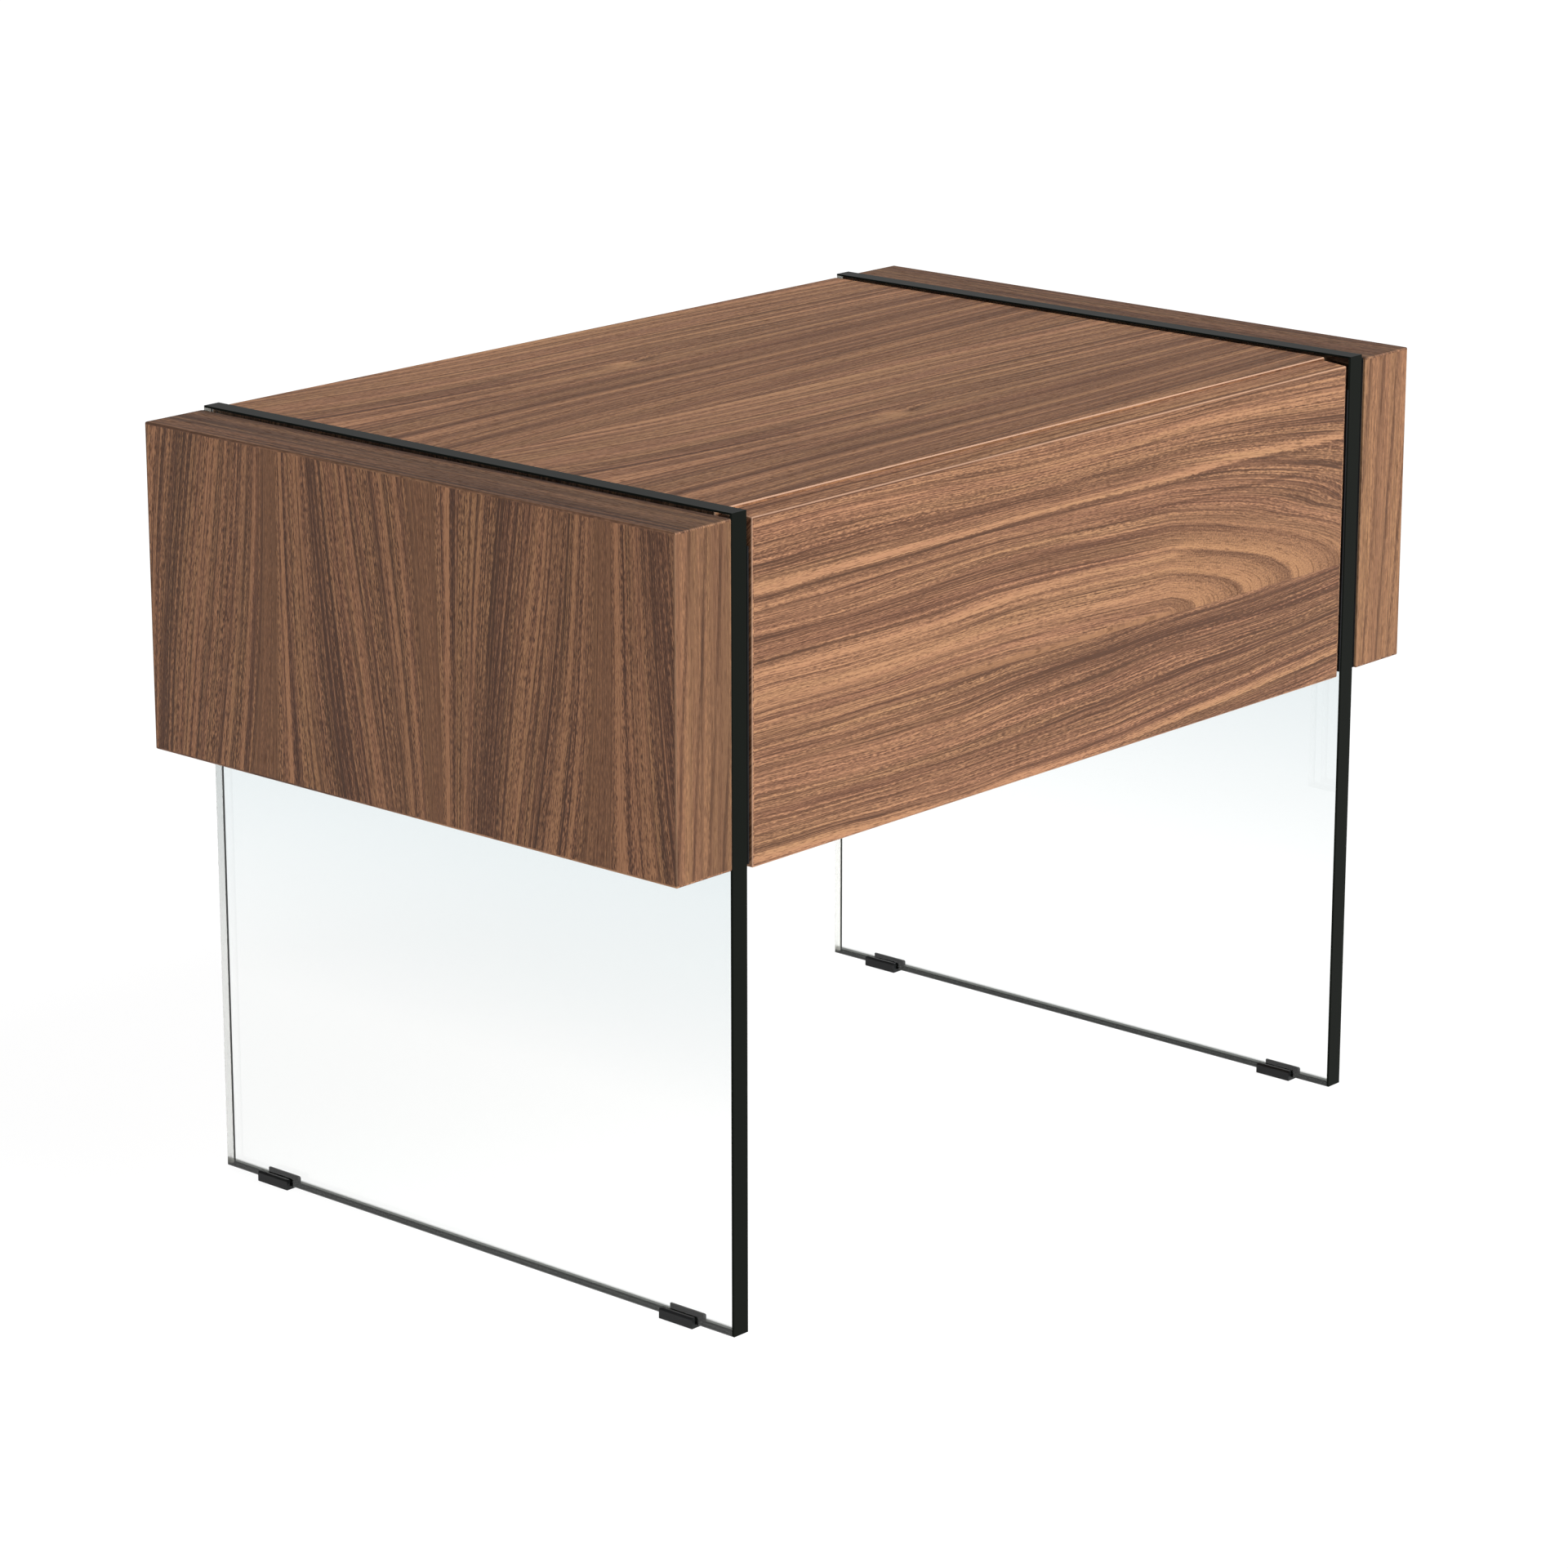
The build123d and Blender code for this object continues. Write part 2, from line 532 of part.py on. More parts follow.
# ---------------------------------------------------------------- drawer
BOX_SCREW_LENGTH = 10.5
FRONT_SCREW_LENGTH = 25.0
FRONT_SCREW_XS = (-150.0, 150.0)
FRONT_SCREW_LOW = 32.0  # above the drawer box's underside
FRONT_SCREW_HIGH = 26.0  # below its top
FRONT_SCREW_ZS = (BOX_BOTTOM + FRONT_SCREW_LOW, BOX_TOP - FRONT_SCREW_HIGH)
FRONT_SCREW_PLACES = [(x, BOX_FRONT + BOX_BOARD, z) for x in FRONT_SCREW_XS for z in FRONT_SCREW_ZS]
FRONT_SCREW_HOLE_R = 2.2
BOX_DOWEL_LOW = 28.0
BOX_DOWEL_HIGH = 20.0
BOX_DOWEL_IN_END = 12.0
BOX_DOWEL_IN_SIDE = 8.0
BOX_DOWEL_ZS = (BOX_BOTTOM + BOX_DOWEL_LOW, BOX_TOP - BOX_DOWEL_HIGH)
BOX_DOWEL_YS = (BOX_FRONT + BOX_BOARD / 2, BOX_BACK - BOX_BOARD / 2)


def box_dowels():
    dowels = []
    for _, sign in SIDES:
        near, far = side_x(sign, BOX_INNER - BOX_DOWEL_IN_END, BOX_INNER + BOX_DOWEL_IN_SIDE)
        for y in BOX_DOWEL_YS:
            dowels += [rod((near, y, z), (far, y, z), BOX_DOWEL_R) for z in BOX_DOWEL_ZS]
    return dowels


def drawer_floor():
    reach = GROOVE_DEPTH - FLOOR_PLAY
    x = BOX_INNER + reach
    y = (BOX_FRONT + BOX_BOARD - reach, BOX_BACK - BOX_BOARD + reach)
    return board((-x, x), y, (FLOOR_Z, FLOOR_Z + FLOOR_THICK))


def floor_groove():
    x = BOX_INNER + GROOVE_DEPTH
    y = (BOX_FRONT + BOX_BOARD - GROOVE_DEPTH, BOX_BACK - BOX_BOARD + GROOVE_DEPTH)
    return board((-x, x), y, (FLOOR_Z - GROOVE_PLAY, FLOOR_Z + FLOOR_THICK + GROOVE_PLAY))


def eased_top(panel, radius):
    """Rounds the long top edges of a drawer box board."""
    top = panel.faces().sort_by(Axis.Z)[-1]
    longest = top.edges().sort_by(SortBy.LENGTH)[-2:]
    return fillet(longest, radius)


def drawer_side(sign):
    panel = board(side_x(sign, BOX_INNER, BOX_OUTER), (BOX_FRONT, BOX_BACK), (BOX_BOTTOM, BOX_TOP))
    panel = eased_top(panel, BOX_TOP_ROUND)
    panel = cut(panel, [floor_groove()] + box_dowels())
    depth = BOX_SCREW_LENGTH - SHEET
    places = drawer_screw_places(sign)
    return cut(panel, [pan_hole(place, (-sign, 0, 0), depth, PAN_SCREW_R) for place in places])


def drawer_cross_board(y):
    panel = board((-BOX_INNER, BOX_INNER), y, (BOX_BOTTOM, BOX_TOP))
    panel = eased_top(panel, BOX_TOP_ROUND)
    return cut(panel, [floor_groove()] + box_dowels())


def drawer_inner_front():
    panel = drawer_cross_board((BOX_FRONT, BOX_FRONT + BOX_BOARD))
    holes = [pan_hole(place, (0, -1, 0), BOX_BOARD, FRONT_SCREW_HOLE_R) for place in FRONT_SCREW_PLACES]
    return cut(panel, holes)


def drawer_front_pieces():
    """The veneered front and the four strips that edge it."""
    half = GLASS_INNER - FRONT_SIDE_GAP
    front, back = DRAWER_FACE, DRAWER_FACE_BACK
    low, high = WOOD_BOTTOM - FRONT_DROP, WOOD_TOP - FRONT_DROP
    outline = Plane.YZ * Polyline(
        (front, low),
        (back - GRIP_BEVEL, low),
        (back, low + GRIP_BEVEL),
        (back, high + FRONT_TOP_SLOPE),
        (front, high),
        close=True,
    )
    whole = softened(extrude(make_face(outline), half, both=True), ARRIS)
    screws = [
        pan_hole((x, back, z), (0, -1, 0), FRONT_SCREW_LENGTH - BOX_BOARD, PAN_SCREW_R)
        for x, _, z in FRONT_SCREW_PLACES
    ]
    inner_x, inner_z = half - EDGING, (low + EDGING, high - EDGING)
    all_x, all_y = (-half - PAST, half + PAST), (front - PAST, back + PAST)
    strips = [
        whole & board(all_x, all_y, (inner_z[1], high + FRONT_TOP_SLOPE + PAST)),
        whole & board(all_x, all_y, (low - PAST, inner_z[0])),
        whole & board((-half - PAST, -inner_x), all_y, inner_z),
        whole & board((inner_x, half + PAST), all_y, inner_z),
    ]
    return {
        "drawer_front": [cut(whole & board((-inner_x, inner_x), all_y, inner_z), screws)],
        "drawer_front_edging": strips,
    }


# ---------------------------------------------------------------- write all nodes
def save_glass_legs(side, sign):
    save(f"{side}_glass_panel", glass_panel(sign))
    save(f"{side}_front_shoe", shoe(sign, FRONT_Y + SHOE_CENTRE))
    save(f"{side}_back_shoe", shoe(sign, BACK_Y - SHOE_CENTRE))
    y = (GLASS_FRONT + GASKET_MARGIN, BACK_Y - GASKET_MARGIN)
    low = WOOD_BOTTOM + GASKET_MARGIN
    block_z, case_z = (low, WOOD_TOP - GASKET_MARGIN), (low, TOP_UNDERSIDE - GASKET_MARGIN)
    save(f"{side}_outer_gasket", gasket(sign, GLASS_OUTER, BLOCK_INNER, y, block_z))
    save(f"{side}_inner_gasket", gasket(sign, CASE_OUTER, GLASS_INNER, y, case_z))


def save_slide(side, sign):
    save(f"{side}_cabinet_rail", cabinet_rail(sign))
    save(f"{side}_middle_rail", middle_rail(sign))
    save(f"{side}_drawer_rail", drawer_rail(sign))
    outer_row = (OUTER_BALL_A, OUTER_BALL_Z)
    inner_row = (INNER_BALL_A, INNER_BALL_Z)
    save(f"{side}_outer_ball_cage", ball_cage(sign, OUTER_CAGE_A, *outer_row))
    save(f"{side}_outer_balls", *balls(sign, *outer_row))
    save(f"{side}_inner_ball_cage", ball_cage(sign, INNER_CAGE_A, *inner_row))
    save(f"{side}_inner_balls", *balls(sign, *inner_row))


def save_fasteners():
    places = [(sign, y, z) for _, sign in SIDES for y, z in BOLT_PLACES]
    save("leg_bolts", *[connector_bolt(*place) for place in places])
    save("glass_bushes", *[glass_bush(*place) for place in places])
    save("threaded_inserts", *[threaded_insert(*place) for place in places])
    save("case_dowels", *case_dowels())
    save("drawer_box_dowels", *box_dowels())
    save("drawer_bumpers", *[bumper(*place) for place in BUMPER_PLACES])
    case_screws, box_screws = [], []
    for _, sign in SIDES:
        case_screws += [countersunk_screw(sign, *place) for place in cabinet_screw_places(sign)]
        for x, y, z in drawer_screw_places(sign):
            box_screws.append(pan_screw((x + sign * SHEET, y, z), (-sign, 0, 0), BOX_SCREW_LENGTH))
    save("cabinet_rail_screws", *case_screws)
    save("drawer_rail_screws", *box_screws)
    front_screws = [pan_screw(place, (0, -1, 0), FRONT_SCREW_LENGTH) for place in FRONT_SCREW_PLACES]
    save("drawer_front_screws", *front_screws)


def main():
    os.makedirs("parts", exist_ok=True)
    for side, sign in SIDES:
        save_glass_legs(side, sign)
        for name, shapes in block_pieces(sign).items():
            save(f"{side}_{name}", *shapes)
        save(f"{side}_case_side", case_side(sign))
        save_slide(side, sign)
        save(f"{side}_drawer_side", drawer_side(sign))
    for name, shapes in {**top_pieces(), **drawer_front_pieces()}.items():
        save(name, *shapes)
    save("case_bottom", case_bottom())
    save("case_back", case_back())
    save("drawer_box_front", drawer_inner_front())
    save("drawer_box_back", drawer_cross_board((BOX_BACK - BOX_BOARD, BOX_BACK)))
    save("drawer_floor", drawer_floor())
    save_fasteners()


main()
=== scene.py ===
import bpy
import math
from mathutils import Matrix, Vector


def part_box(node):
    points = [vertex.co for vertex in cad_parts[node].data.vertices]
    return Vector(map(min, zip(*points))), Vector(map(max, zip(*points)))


# Looks for a side table: walnut veneer on a case and two side blocks, carried
# by two clear glass sheets. The CAD shapes are right as they are, so every node
# keeps its mesh and only gets its material here.

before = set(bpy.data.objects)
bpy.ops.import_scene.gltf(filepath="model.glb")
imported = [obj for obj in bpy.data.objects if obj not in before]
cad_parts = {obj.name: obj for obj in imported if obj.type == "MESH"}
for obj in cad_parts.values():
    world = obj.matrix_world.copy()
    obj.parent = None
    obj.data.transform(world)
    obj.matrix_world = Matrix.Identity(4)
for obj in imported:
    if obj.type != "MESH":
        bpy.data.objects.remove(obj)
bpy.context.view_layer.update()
MM = 1000.0  # millimetres in a metre


# ------------------------------------------------------------------ node graphs
class Graph:
    """A material's node tree, built from short calls. Inputs are sockets or plain values."""

    def __init__(self, name):
        self.material = bpy.data.materials.new(name)
        self.material.use_nodes = True
        self.tree = self.material.node_tree
        self.tree.nodes.clear()
        self.output = self.node("OutputMaterial")

    def node(self, kind, **settings):
        made = self.tree.nodes.new("ShaderNode" + kind)
        for key, value in settings.items():
            setattr(made, key, value)
        return made

    def feed(self, socket, value):
        """Links a socket, or sets a plain value."""
        if isinstance(value, bpy.types.NodeSocket):
            self.tree.links.new(value, socket)
        else:
            socket.default_value = value

    def math(self, operation, a, b=0.0, clamp=False):
        made = self.node("Math", operation=operation, use_clamp=clamp)
        self.feed(made.inputs[0], a)
        self.feed(made.inputs[1], b)
        return made.outputs[0]

    def add(self, *values):
        total = values[0]
        for value in values[1:]:
            total = self.math("ADD", total, value)
        return total

    def times(self, a, b):
        return self.math("MULTIPLY", a, b)

    def sine(self, value, period):
        return self.math("SINE", self.times(value, 2 * math.pi / period))

    def vector(self, x, y, z):
        made = self.node("CombineXYZ")
        for socket, value in zip(made.inputs, (x, y, z)):
            self.feed(socket, value)
        return made.outputs[0]

    def place(self):
        """The point on the object in its own frame, in millimetres, as x, y and z."""
        split = self.node("SeparateXYZ")
        self.feed(split.inputs[0], self.node("TexCoord").outputs["Object"])
        return [self.times(axis, MM) for axis in split.outputs]

    def axes(self):
        """The same point, with each axis under its letter."""
        return dict(zip("xyz", self.place()))

    def cells(self, *sides, detail=2.0, roughness=0.5):
        """Noise from about 0.2 to 0.8. A side is (coordinate, cell length) or a place in cells."""
        point = [self.times(side[0], 1 / side[1]) if isinstance(side, tuple) else side for side in sides]
        made = self.node("TexNoise")
        self.feed(made.inputs["Vector"], self.vector(*point))
        made.inputs["Scale"].default_value = 1.0
        made.inputs["Detail"].default_value = detail
        made.inputs["Roughness"].default_value = roughness
        return made.outputs["Fac"]

    def clouds(self, size, detail):
        """Noise in round cells of a size in millimetres."""
        return self.cells(*[(axis, size) for axis in self.place()], detail=detail)

    def remap(self, value, low, high, to_low=0.0, to_high=1.0):
        made = self.node("MapRange")
        for socket, entry in zip(made.inputs, (value, low, high, to_low, to_high)):
            self.feed(socket, entry)
        return made.outputs[0]

    def ramp(self, factor, *stops):
        """Colours along a factor. Each stop is (position, (r, g, b))."""
        made = self.node("ValToRGB")
        elements = made.color_ramp.elements
        while len(elements) < len(stops):
            elements.new(0.5)
        for element, (position, colour) in zip(elements, stops):
            element.position = position
            element.color = (*colour, 1.0)
        self.feed(made.inputs[0], factor)
        return made.outputs["Color"]

    def mix(self, factor, a, b, blend="MIX"):
        made = self.node("Mix", data_type="RGBA", blend_type=blend)
        self.feed(made.inputs["Factor"], factor)
        for socket, value in ((made.inputs["A"], a), (made.inputs["B"], b)):
            self.feed(socket, value if isinstance(value, bpy.types.NodeSocket) else (*value, 1.0))
        return made.outputs["Result"]

    def bump(self, height, depth_mm):
        made = self.node("Bump")
        made.inputs["Strength"].default_value = 1.0
        made.inputs["Distance"].default_value = depth_mm / MM
        self.feed(made.inputs["Height"], height)
        return made.outputs["Normal"]

    def surface(self, **inputs):
        """A Principled shader on the output. Input names use _ for a space."""
        shader = self.node("BsdfPrincipled")
        for key, value in inputs.items():
            if isinstance(value, tuple) and len(value) == 3:
                value = (*value, 1.0)
            self.feed(shader.inputs[key.replace("_", " ")], value)
        self.feed(self.output.inputs["Surface"], shader.outputs[0])
        return shader


def shade(colour, amount):
    return tuple(channel * amount for channel in colour)


def tinted(colour, share):
    return tuple(a * b for a, b in zip(colour, share))


# ------------------------------------------------------------------ walnut veneer
WALNUT = (0.232, 0.110, 0.0575)  # the middle tone
WALNUT_DARK = (0.35, 0.30, 0.27)  # the darkest streaks, as a share of the middle tone
WALNUT_DEEP = (0.68, 0.63, 0.60)
WALNUT_PALE = (1.38, 1.41, 1.37)
WALNUT_LIGHT = (1.85, 1.98, 1.92)
WALNUT_RAMP = (
    (0.10, WALNUT_DARK),
    (0.34, WALNUT_DEEP),
    (0.50, (1.0, 1.0, 1.0)),
    (0.66, WALNUT_PALE),
    (0.92, WALNUT_LIGHT),
)
PAINTED_EDGE_HIGHLIGHT = (0.54, 0.33, 0.22)  # painted highlight: pale colour on the rounded corners
FLAT, ROUNDED = 0.985, 0.90  # how squarely a side and a corner face along an axis
RUSSET = (1.02, 0.985, 1.01)  # the warmer and the yellower stripes
OLIVE = (0.985, 1.012, 0.965)
PLAIN = (1.0, 1.005, 0.91)  # the smooth stretches between the stripes
SEED_ALONG, SEED_DEEP = 913.0, 37.0  # millimetres between the places that two seeds show
DEPTH_SHARE = 0.05  # the figure changes slowly with depth

# How a leaf of veneer looks. Lengths are millimetres. The LAYERS are shares of the tone.
LAYERS = ("broad", "bands", "streaks", "hairs", "beads", "veins")
VENEER = {
    "sway": 24.0,  # how far the lines of the grain wander sideways
    "comb": 2.0,  # how far their edges are toothed
    "coarse": 0.65,  # how wide the streaks are
    "streak_length": 420.0,
    "hair_length": 95.0,
    "broad": 0.30,
    "bands": 0.42,
    "streaks": 0.85,
    "hairs": 1.5,
    "beads": 0.65,  # short pale ticks along the light bands
    "veins": -0.13,  # thin dark lines
    "vein_every": 6.0,
    "vein_fine": 0.035,  # a smaller value makes them thinner
    "contrast": 1.15,
    "cast": (1.0, 1.0, 1.0),  # a tint over it all
}
STRAIGHT = {
    "sway": 7.0,
    "comb": 0.8,
    "coarse": 0.55,
    "hair_length": 120.0,
    "broad": 0.2,
    "bands": 0.3,
    "streaks": 0.7,
    "hairs": 1.3,
    "beads": 1.2,
    "veins": -0.10,
    "vein_every": 3.2,
    "vein_fine": 0.05,
    "contrast": 1.55,
    "cast": (1.02, 0.955, 0.885),
}
QUIET = {
    "sway": 10.0,
    "comb": 0.7,
    "coarse": 1.1,
    "streak_length": 900.0,
    "hair_length": 150.0,
    "bands": 0.5,
    "streaks": 0.8,
    "hairs": 1.0,
    "beads": 0.4,
    "veins": -0.10,
    "vein_every": 9.0,
    "contrast": 1.4,
}
SMOOTH = {
    "sway": 18.0,
    "comb": 0.4,
    "hair_length": 160.0,
    "broad": 0.2,
    "bands": 0.3,
    "streaks": 0.2,
    "hairs": 0.35,
    "beads": 0.3,
    "veins": -0.06,
    "vein_every": 11.0,
    "vein_fine": 0.08,
    "contrast": 1.35,
    "cast": (0.98, 0.98, 0.91),
}


def facing(g):
    """The direction that the surface faces, in the object's own frame, as x, y and z."""
    split = g.node("SeparateXYZ")
    g.feed(split.inputs[0], g.node("TexCoord").outputs["Normal"])
    return list(split.outputs)


def painted_highlight_edges(g):
    """Where the painted highlight goes: 1 on the rounded corners of a board, 0 on its flat sides."""
    x, y, z = [g.math("ABSOLUTE", axis) for axis in facing(g)]
    return g.remap(g.math("MAXIMUM", g.math("MAXIMUM", x, y), z), FLAT, ROUNDED)


def veneer_place(g, axes, grain, across, seed, layout):
    """How far along and across the grain a point lies, and how deep."""
    u = g.add(axes[grain], seed * SEED_ALONG)
    v = g.add(*[axes[a] for a in across])
    if layout:
        u, v = layout(g, axes, u)
    depth = g.add(*[axes[a] for a in "xyz" if a != grain and a not in across], seed * SEED_DEEP)
    return u, v, g.times(depth, DEPTH_SHARE)


def grain_parts(g, fibres, look, line, feather):
    """The parts of the grain, from broad bands down to single pores."""
    coarse = look["coarse"]
    toothed = g.add(line, feather)
    bands = fibres(520.0, 7.0 * coarse, 2.0, toothed, 0.6)
    streaks = fibres(look["streak_length"], 2.0 * coarse, 2.0, toothed, 0.6)
    flecks = fibres(3.0, 0.9 * coarse, 1.0, line)
    crossing = g.math("ABSOLUTE", fibres(600.0, look["vein_every"], 1.0, line))
    unbroken = g.remap(fibres(90.0, 14.0, 1.0, line), -0.12, 0.10)
    return {
        "broad": fibres(700.0, 34.0, 1.0, line),
        "bands": bands,
        "streaks": streaks,
        "hairs": fibres(look["hair_length"], 0.8 * coarse, 2.0, line),
        "flecks": flecks,
        "beads": g.times(flecks, g.remap(g.add(bands, streaks), -0.1, 0.25, 0.5, 2.2)),
        "veins": g.times(g.remap(crossing, 0.0, look["vein_fine"], 1.0, 0.0), unbroken),
        "pores": g.remap(fibres(8.0, 0.8 * coarse, 0.0, line), 0.10, 0.22),
        "warmth": g.remap(fibres(300.0, 11.0 * coarse, 2.0, line), -0.15, 0.15),
    }


def veneer_colour(g, parts, tonal, calm, edge_highlight):
    colour = g.ramp(tonal, *[(place, tinted(WALNUT, share)) for place, share in WALNUT_RAMP])
    striped = g.mix(parts["warmth"], RUSSET, OLIVE)
    hue = g.mix(g.math("SUBTRACT", 1.0, calm, clamp=True), striped, PLAIN)
    colour = g.mix(1.0, colour, hue, "MULTIPLY")
    colour = g.mix(g.times(parts["pores"], 0.5), colour, tinted(WALNUT, WALNUT_DARK))
    # painted highlight: the rounded corners are blended towards a pale colour
    return g.mix(g.times(painted_highlight_edges(g), edge_highlight), colour, PAINTED_EDGE_HIGHLIGHT)


def walnut(
    name, grain, across, seed, tone=1.0, layout=None, figure=None, top_tone=None, edge_highlight=0.3, style=None
):
    """Walnut veneer. grain is the axis along the fibres; across lists the axes that cross them.

    layout sets out the leaves of the veneer: it gives the places along and across the grain.
    figure draws what belongs to one leaf only. It bends the lines and gives them a drawn tone,
    and calm, which is below 1 where the grain is plainer. top_tone is another tone for what
    faces up, and style holds what differs from VENEER.
    """
    # the rounded corners get a painted highlight, as strong as the argument after top_tone
    look = {**VENEER, **(style or {})}
    g = Graph(name)
    axes = g.axes()
    u, v, w = veneer_place(g, axes, grain, across, seed, layout)

    def fibres(along, width, detail, line, roughness=0.5):
        """Noise from about -0.3 to 0.3, in cells as long and as wide as given."""
        return g.add(g.cells((u, along), (line, width), w, detail=detail, roughness=roughness), -0.5)

    sway = g.times(fibres(340.0, 90.0, 1.0, v), look["sway"])
    wave = g.times(fibres(60.0, 18.0, 1.0, v), look["sway"] * 0.12)
    feather = g.times(fibres(3.2, 2.4, 1.0, v), look["comb"])
    line, drawn, calm = g.add(v, sway, wave), 0.0, 1.0
    if figure:
        line, drawn, calm = figure(g, axes, v, line, feather)

    parts = grain_parts(g, fibres, look, line, feather)
    stripes = g.add(*[g.times(parts[layer], look[layer] * look["contrast"]) for layer in LAYERS])
    tonal = g.add(0.5, drawn, g.times(calm, stripes))
    colour = veneer_colour(g, parts, tonal, calm, edge_highlight)
    level = tone if top_tone is None else g.remap(facing(g)[2], 0.2, 0.9, tone, top_tone)
    level = g.vector(*[g.times(level, share) for share in look["cast"]])
    relief = g.add(
        g.times(parts["hairs"], 0.5),
        g.times(parts["flecks"], 0.35),
        g.times(parts["pores"], -0.6),
        g.times(parts["veins"], -0.2),
    )
    g.surface(
        Base_Color=g.mix(1.0, colour, level, "MULTIPLY"),
        Roughness=g.add(0.42, g.times(parts["pores"], 0.2), g.times(parts["streaks"], 0.15)),
        Specular_IOR_Level=0.22,
        Normal=g.bump(relief, 0.06),
    )
    return g.material


# ------------------------------------------------------------------ other woods
def plain_wood(name, grain, across, base, seed, streak=0.25):
    """A light board with a quiet straight grain."""
    g = Graph(name)
    axes = g.axes()
    u = g.add(axes[grain], seed * 613.0)
    v = g.add(*[axes[a] for a in across])
    wander = g.cells((u, 220.0), (v, 60.0), seed)
    line = g.add(v, g.times(g.add(wander, -0.5), 14.0))

    def fibres(along, width, detail):
        return g.cells((u, along), (line, width), seed, detail=detail, roughness=0.6)

    growth = fibres(500.0, 5.0, 3.0)
    hairs = fibres(70.0, 0.7, 2.0)
    pores = g.remap(fibres(5.0, 0.5, 0.0), 0.60, 0.72)
    tonal = g.add(0.5, g.times(g.add(growth, -0.5), 0.9), g.times(g.add(hairs, -0.5), 0.9))
    colour = g.ramp(tonal, (0.2, shade(base, 1 - 2 * streak)), (0.5, base), (0.8, shade(base, 1 + streak)))
    colour = g.mix(g.times(pores, 0.5), colour, shade(base, 0.55))
    relief = g.add(g.times(hairs, 0.5), g.times(pores, -0.6))
    g.surface(
        Base_Color=colour,
        Roughness=g.add(0.45, g.times(hairs, 0.12)),
        Normal=g.bump(relief, 0.05),
    )
    return g.material


def fibreboard(name, base):
    """Pressed wood fibre, speckled and dull."""
    g = Graph(name)
    speckle = g.clouds(0.5, 2.0)
    cloud = g.clouds(25.0, 2.0)
    tonal = g.add(0.5, g.times(g.add(speckle, -0.5), 0.8), g.times(g.add(cloud, -0.5), 0.5))
    colour = g.ramp(tonal, (0.2, shade(base, 0.7)), (0.5, base), (0.8, shade(base, 1.25)))
    g.surface(
        Base_Color=colour,
        Roughness=g.remap(speckle, 0.2, 0.8, 0.75, 0.95),
        Normal=g.bump(speckle, 0.08),
    )
    return g.material


# ------------------------------------------------------------------ glass, plastic, rubber, metal
GLASS_TINT = (0.10, 0.36, 0.24)  # green passes best
GLASS_DENSITY = 3.5  # per metre
GLASS_PAINTED_SHADE = (0.77, 0.817, 0.835)  # painted shade: a faint grey-blue on the faces close under the wood
GLASS_BACK = (0.62, 0.59, 0.54)  # the back edge, with a pale beige painted reflection
BACK_CLEAR = 0.6  # how much of the light goes through it
GLASS_EDGE = (0.0035, 0.0048, 0.0032)  # painted shade: the front and top edges, nearly black where they look into the sheet's length
GLASS_UNDER = (0.010, 0.013, 0.010)  # painted shade on the ground edge that stands over the floor
GLASS_ARRIS = (0.018, 0.02, 0.017)  # painted shade on the faces along that edge, where it is bevelled
ARRIS_MM = 3.0
GLASS_SHADOW = (0.97, 0.99, 0.98)  # the share of a lamp's light that passes
SLANTED, SQUARE = 0.90, 0.99  # a surface blends into one side of the sheet between these


def clear_glass(low, high, foot):
    """Clear float glass: bright through its faces, painted shade makes its edges nearly black green.

    The edges are told apart by where they lie, because the back and the bottom edge are
    mostly seen from inside the sheet. Its faces get a painted grey-blue shade that deepens
    from low to high. foot is the height of the bottom edge.
    """
    g = Graph("clear_glass")
    _, y, z = g.place()
    smear = g.clouds(60.0, 3.0)
    to_x, to_y, to_z = [g.math("ABSOLUTE", axis) for axis in facing(g)]
    face = g.remap(to_x, SLANTED, SQUARE)
    back = g.times(g.remap(to_y, SLANTED, SQUARE), g.math("GREATER_THAN", y, 0.0))
    under = g.times(g.remap(to_z, SLANTED, SQUARE), g.math("LESS_THAN", z, low))
    # painted shade: the faces darken to grey-blue from low up to high, under the wood
    body = g.mix(g.remap(z, low, high), (1.0, 1.0, 1.0), GLASS_PAINTED_SHADE)
    # painted shade: a dark band along the bottom of the faces
    body = g.mix(g.remap(z, foot + ARRIS_MM, foot + 0.6 * ARRIS_MM), body, GLASS_ARRIS)
    # painted shade darkens the edges, and a painted reflection makes the back edge pale
    edge = g.mix(back, g.mix(under, GLASS_EDGE, GLASS_UNDER), GLASS_BACK)
    glass = g.surface(
        Base_Color=g.mix(face, edge, body),
        Roughness=g.remap(smear, 0.45, 0.8, 0.0, 0.008),
        IOR=1.5,
        Specular_IOR_Level=0.05,
        Transmission_Weight=g.math("MAXIMUM", face, g.times(back, BACK_CLEAR)),
    )
    lamps = g.node("LightPath")
    through = g.node("BsdfTransparent")
    through.inputs["Color"].default_value = (*GLASS_SHADOW, 1.0)
    joined = g.node("MixShader")
    g.feed(joined.inputs[0], lamps.outputs["Is Shadow Ray"])
    g.feed(joined.inputs[1], glass.outputs[0])
    g.feed(joined.inputs[2], through.outputs[0])
    g.feed(g.output.inputs["Surface"], joined.outputs[0])
    inside = g.node("VolumeAbsorption")
    inside.inputs["Color"].default_value = (*GLASS_TINT, 1.0)
    inside.inputs["Density"].default_value = GLASS_DENSITY
    g.feed(g.output.inputs["Volume"], inside.outputs[0])
    return g.material


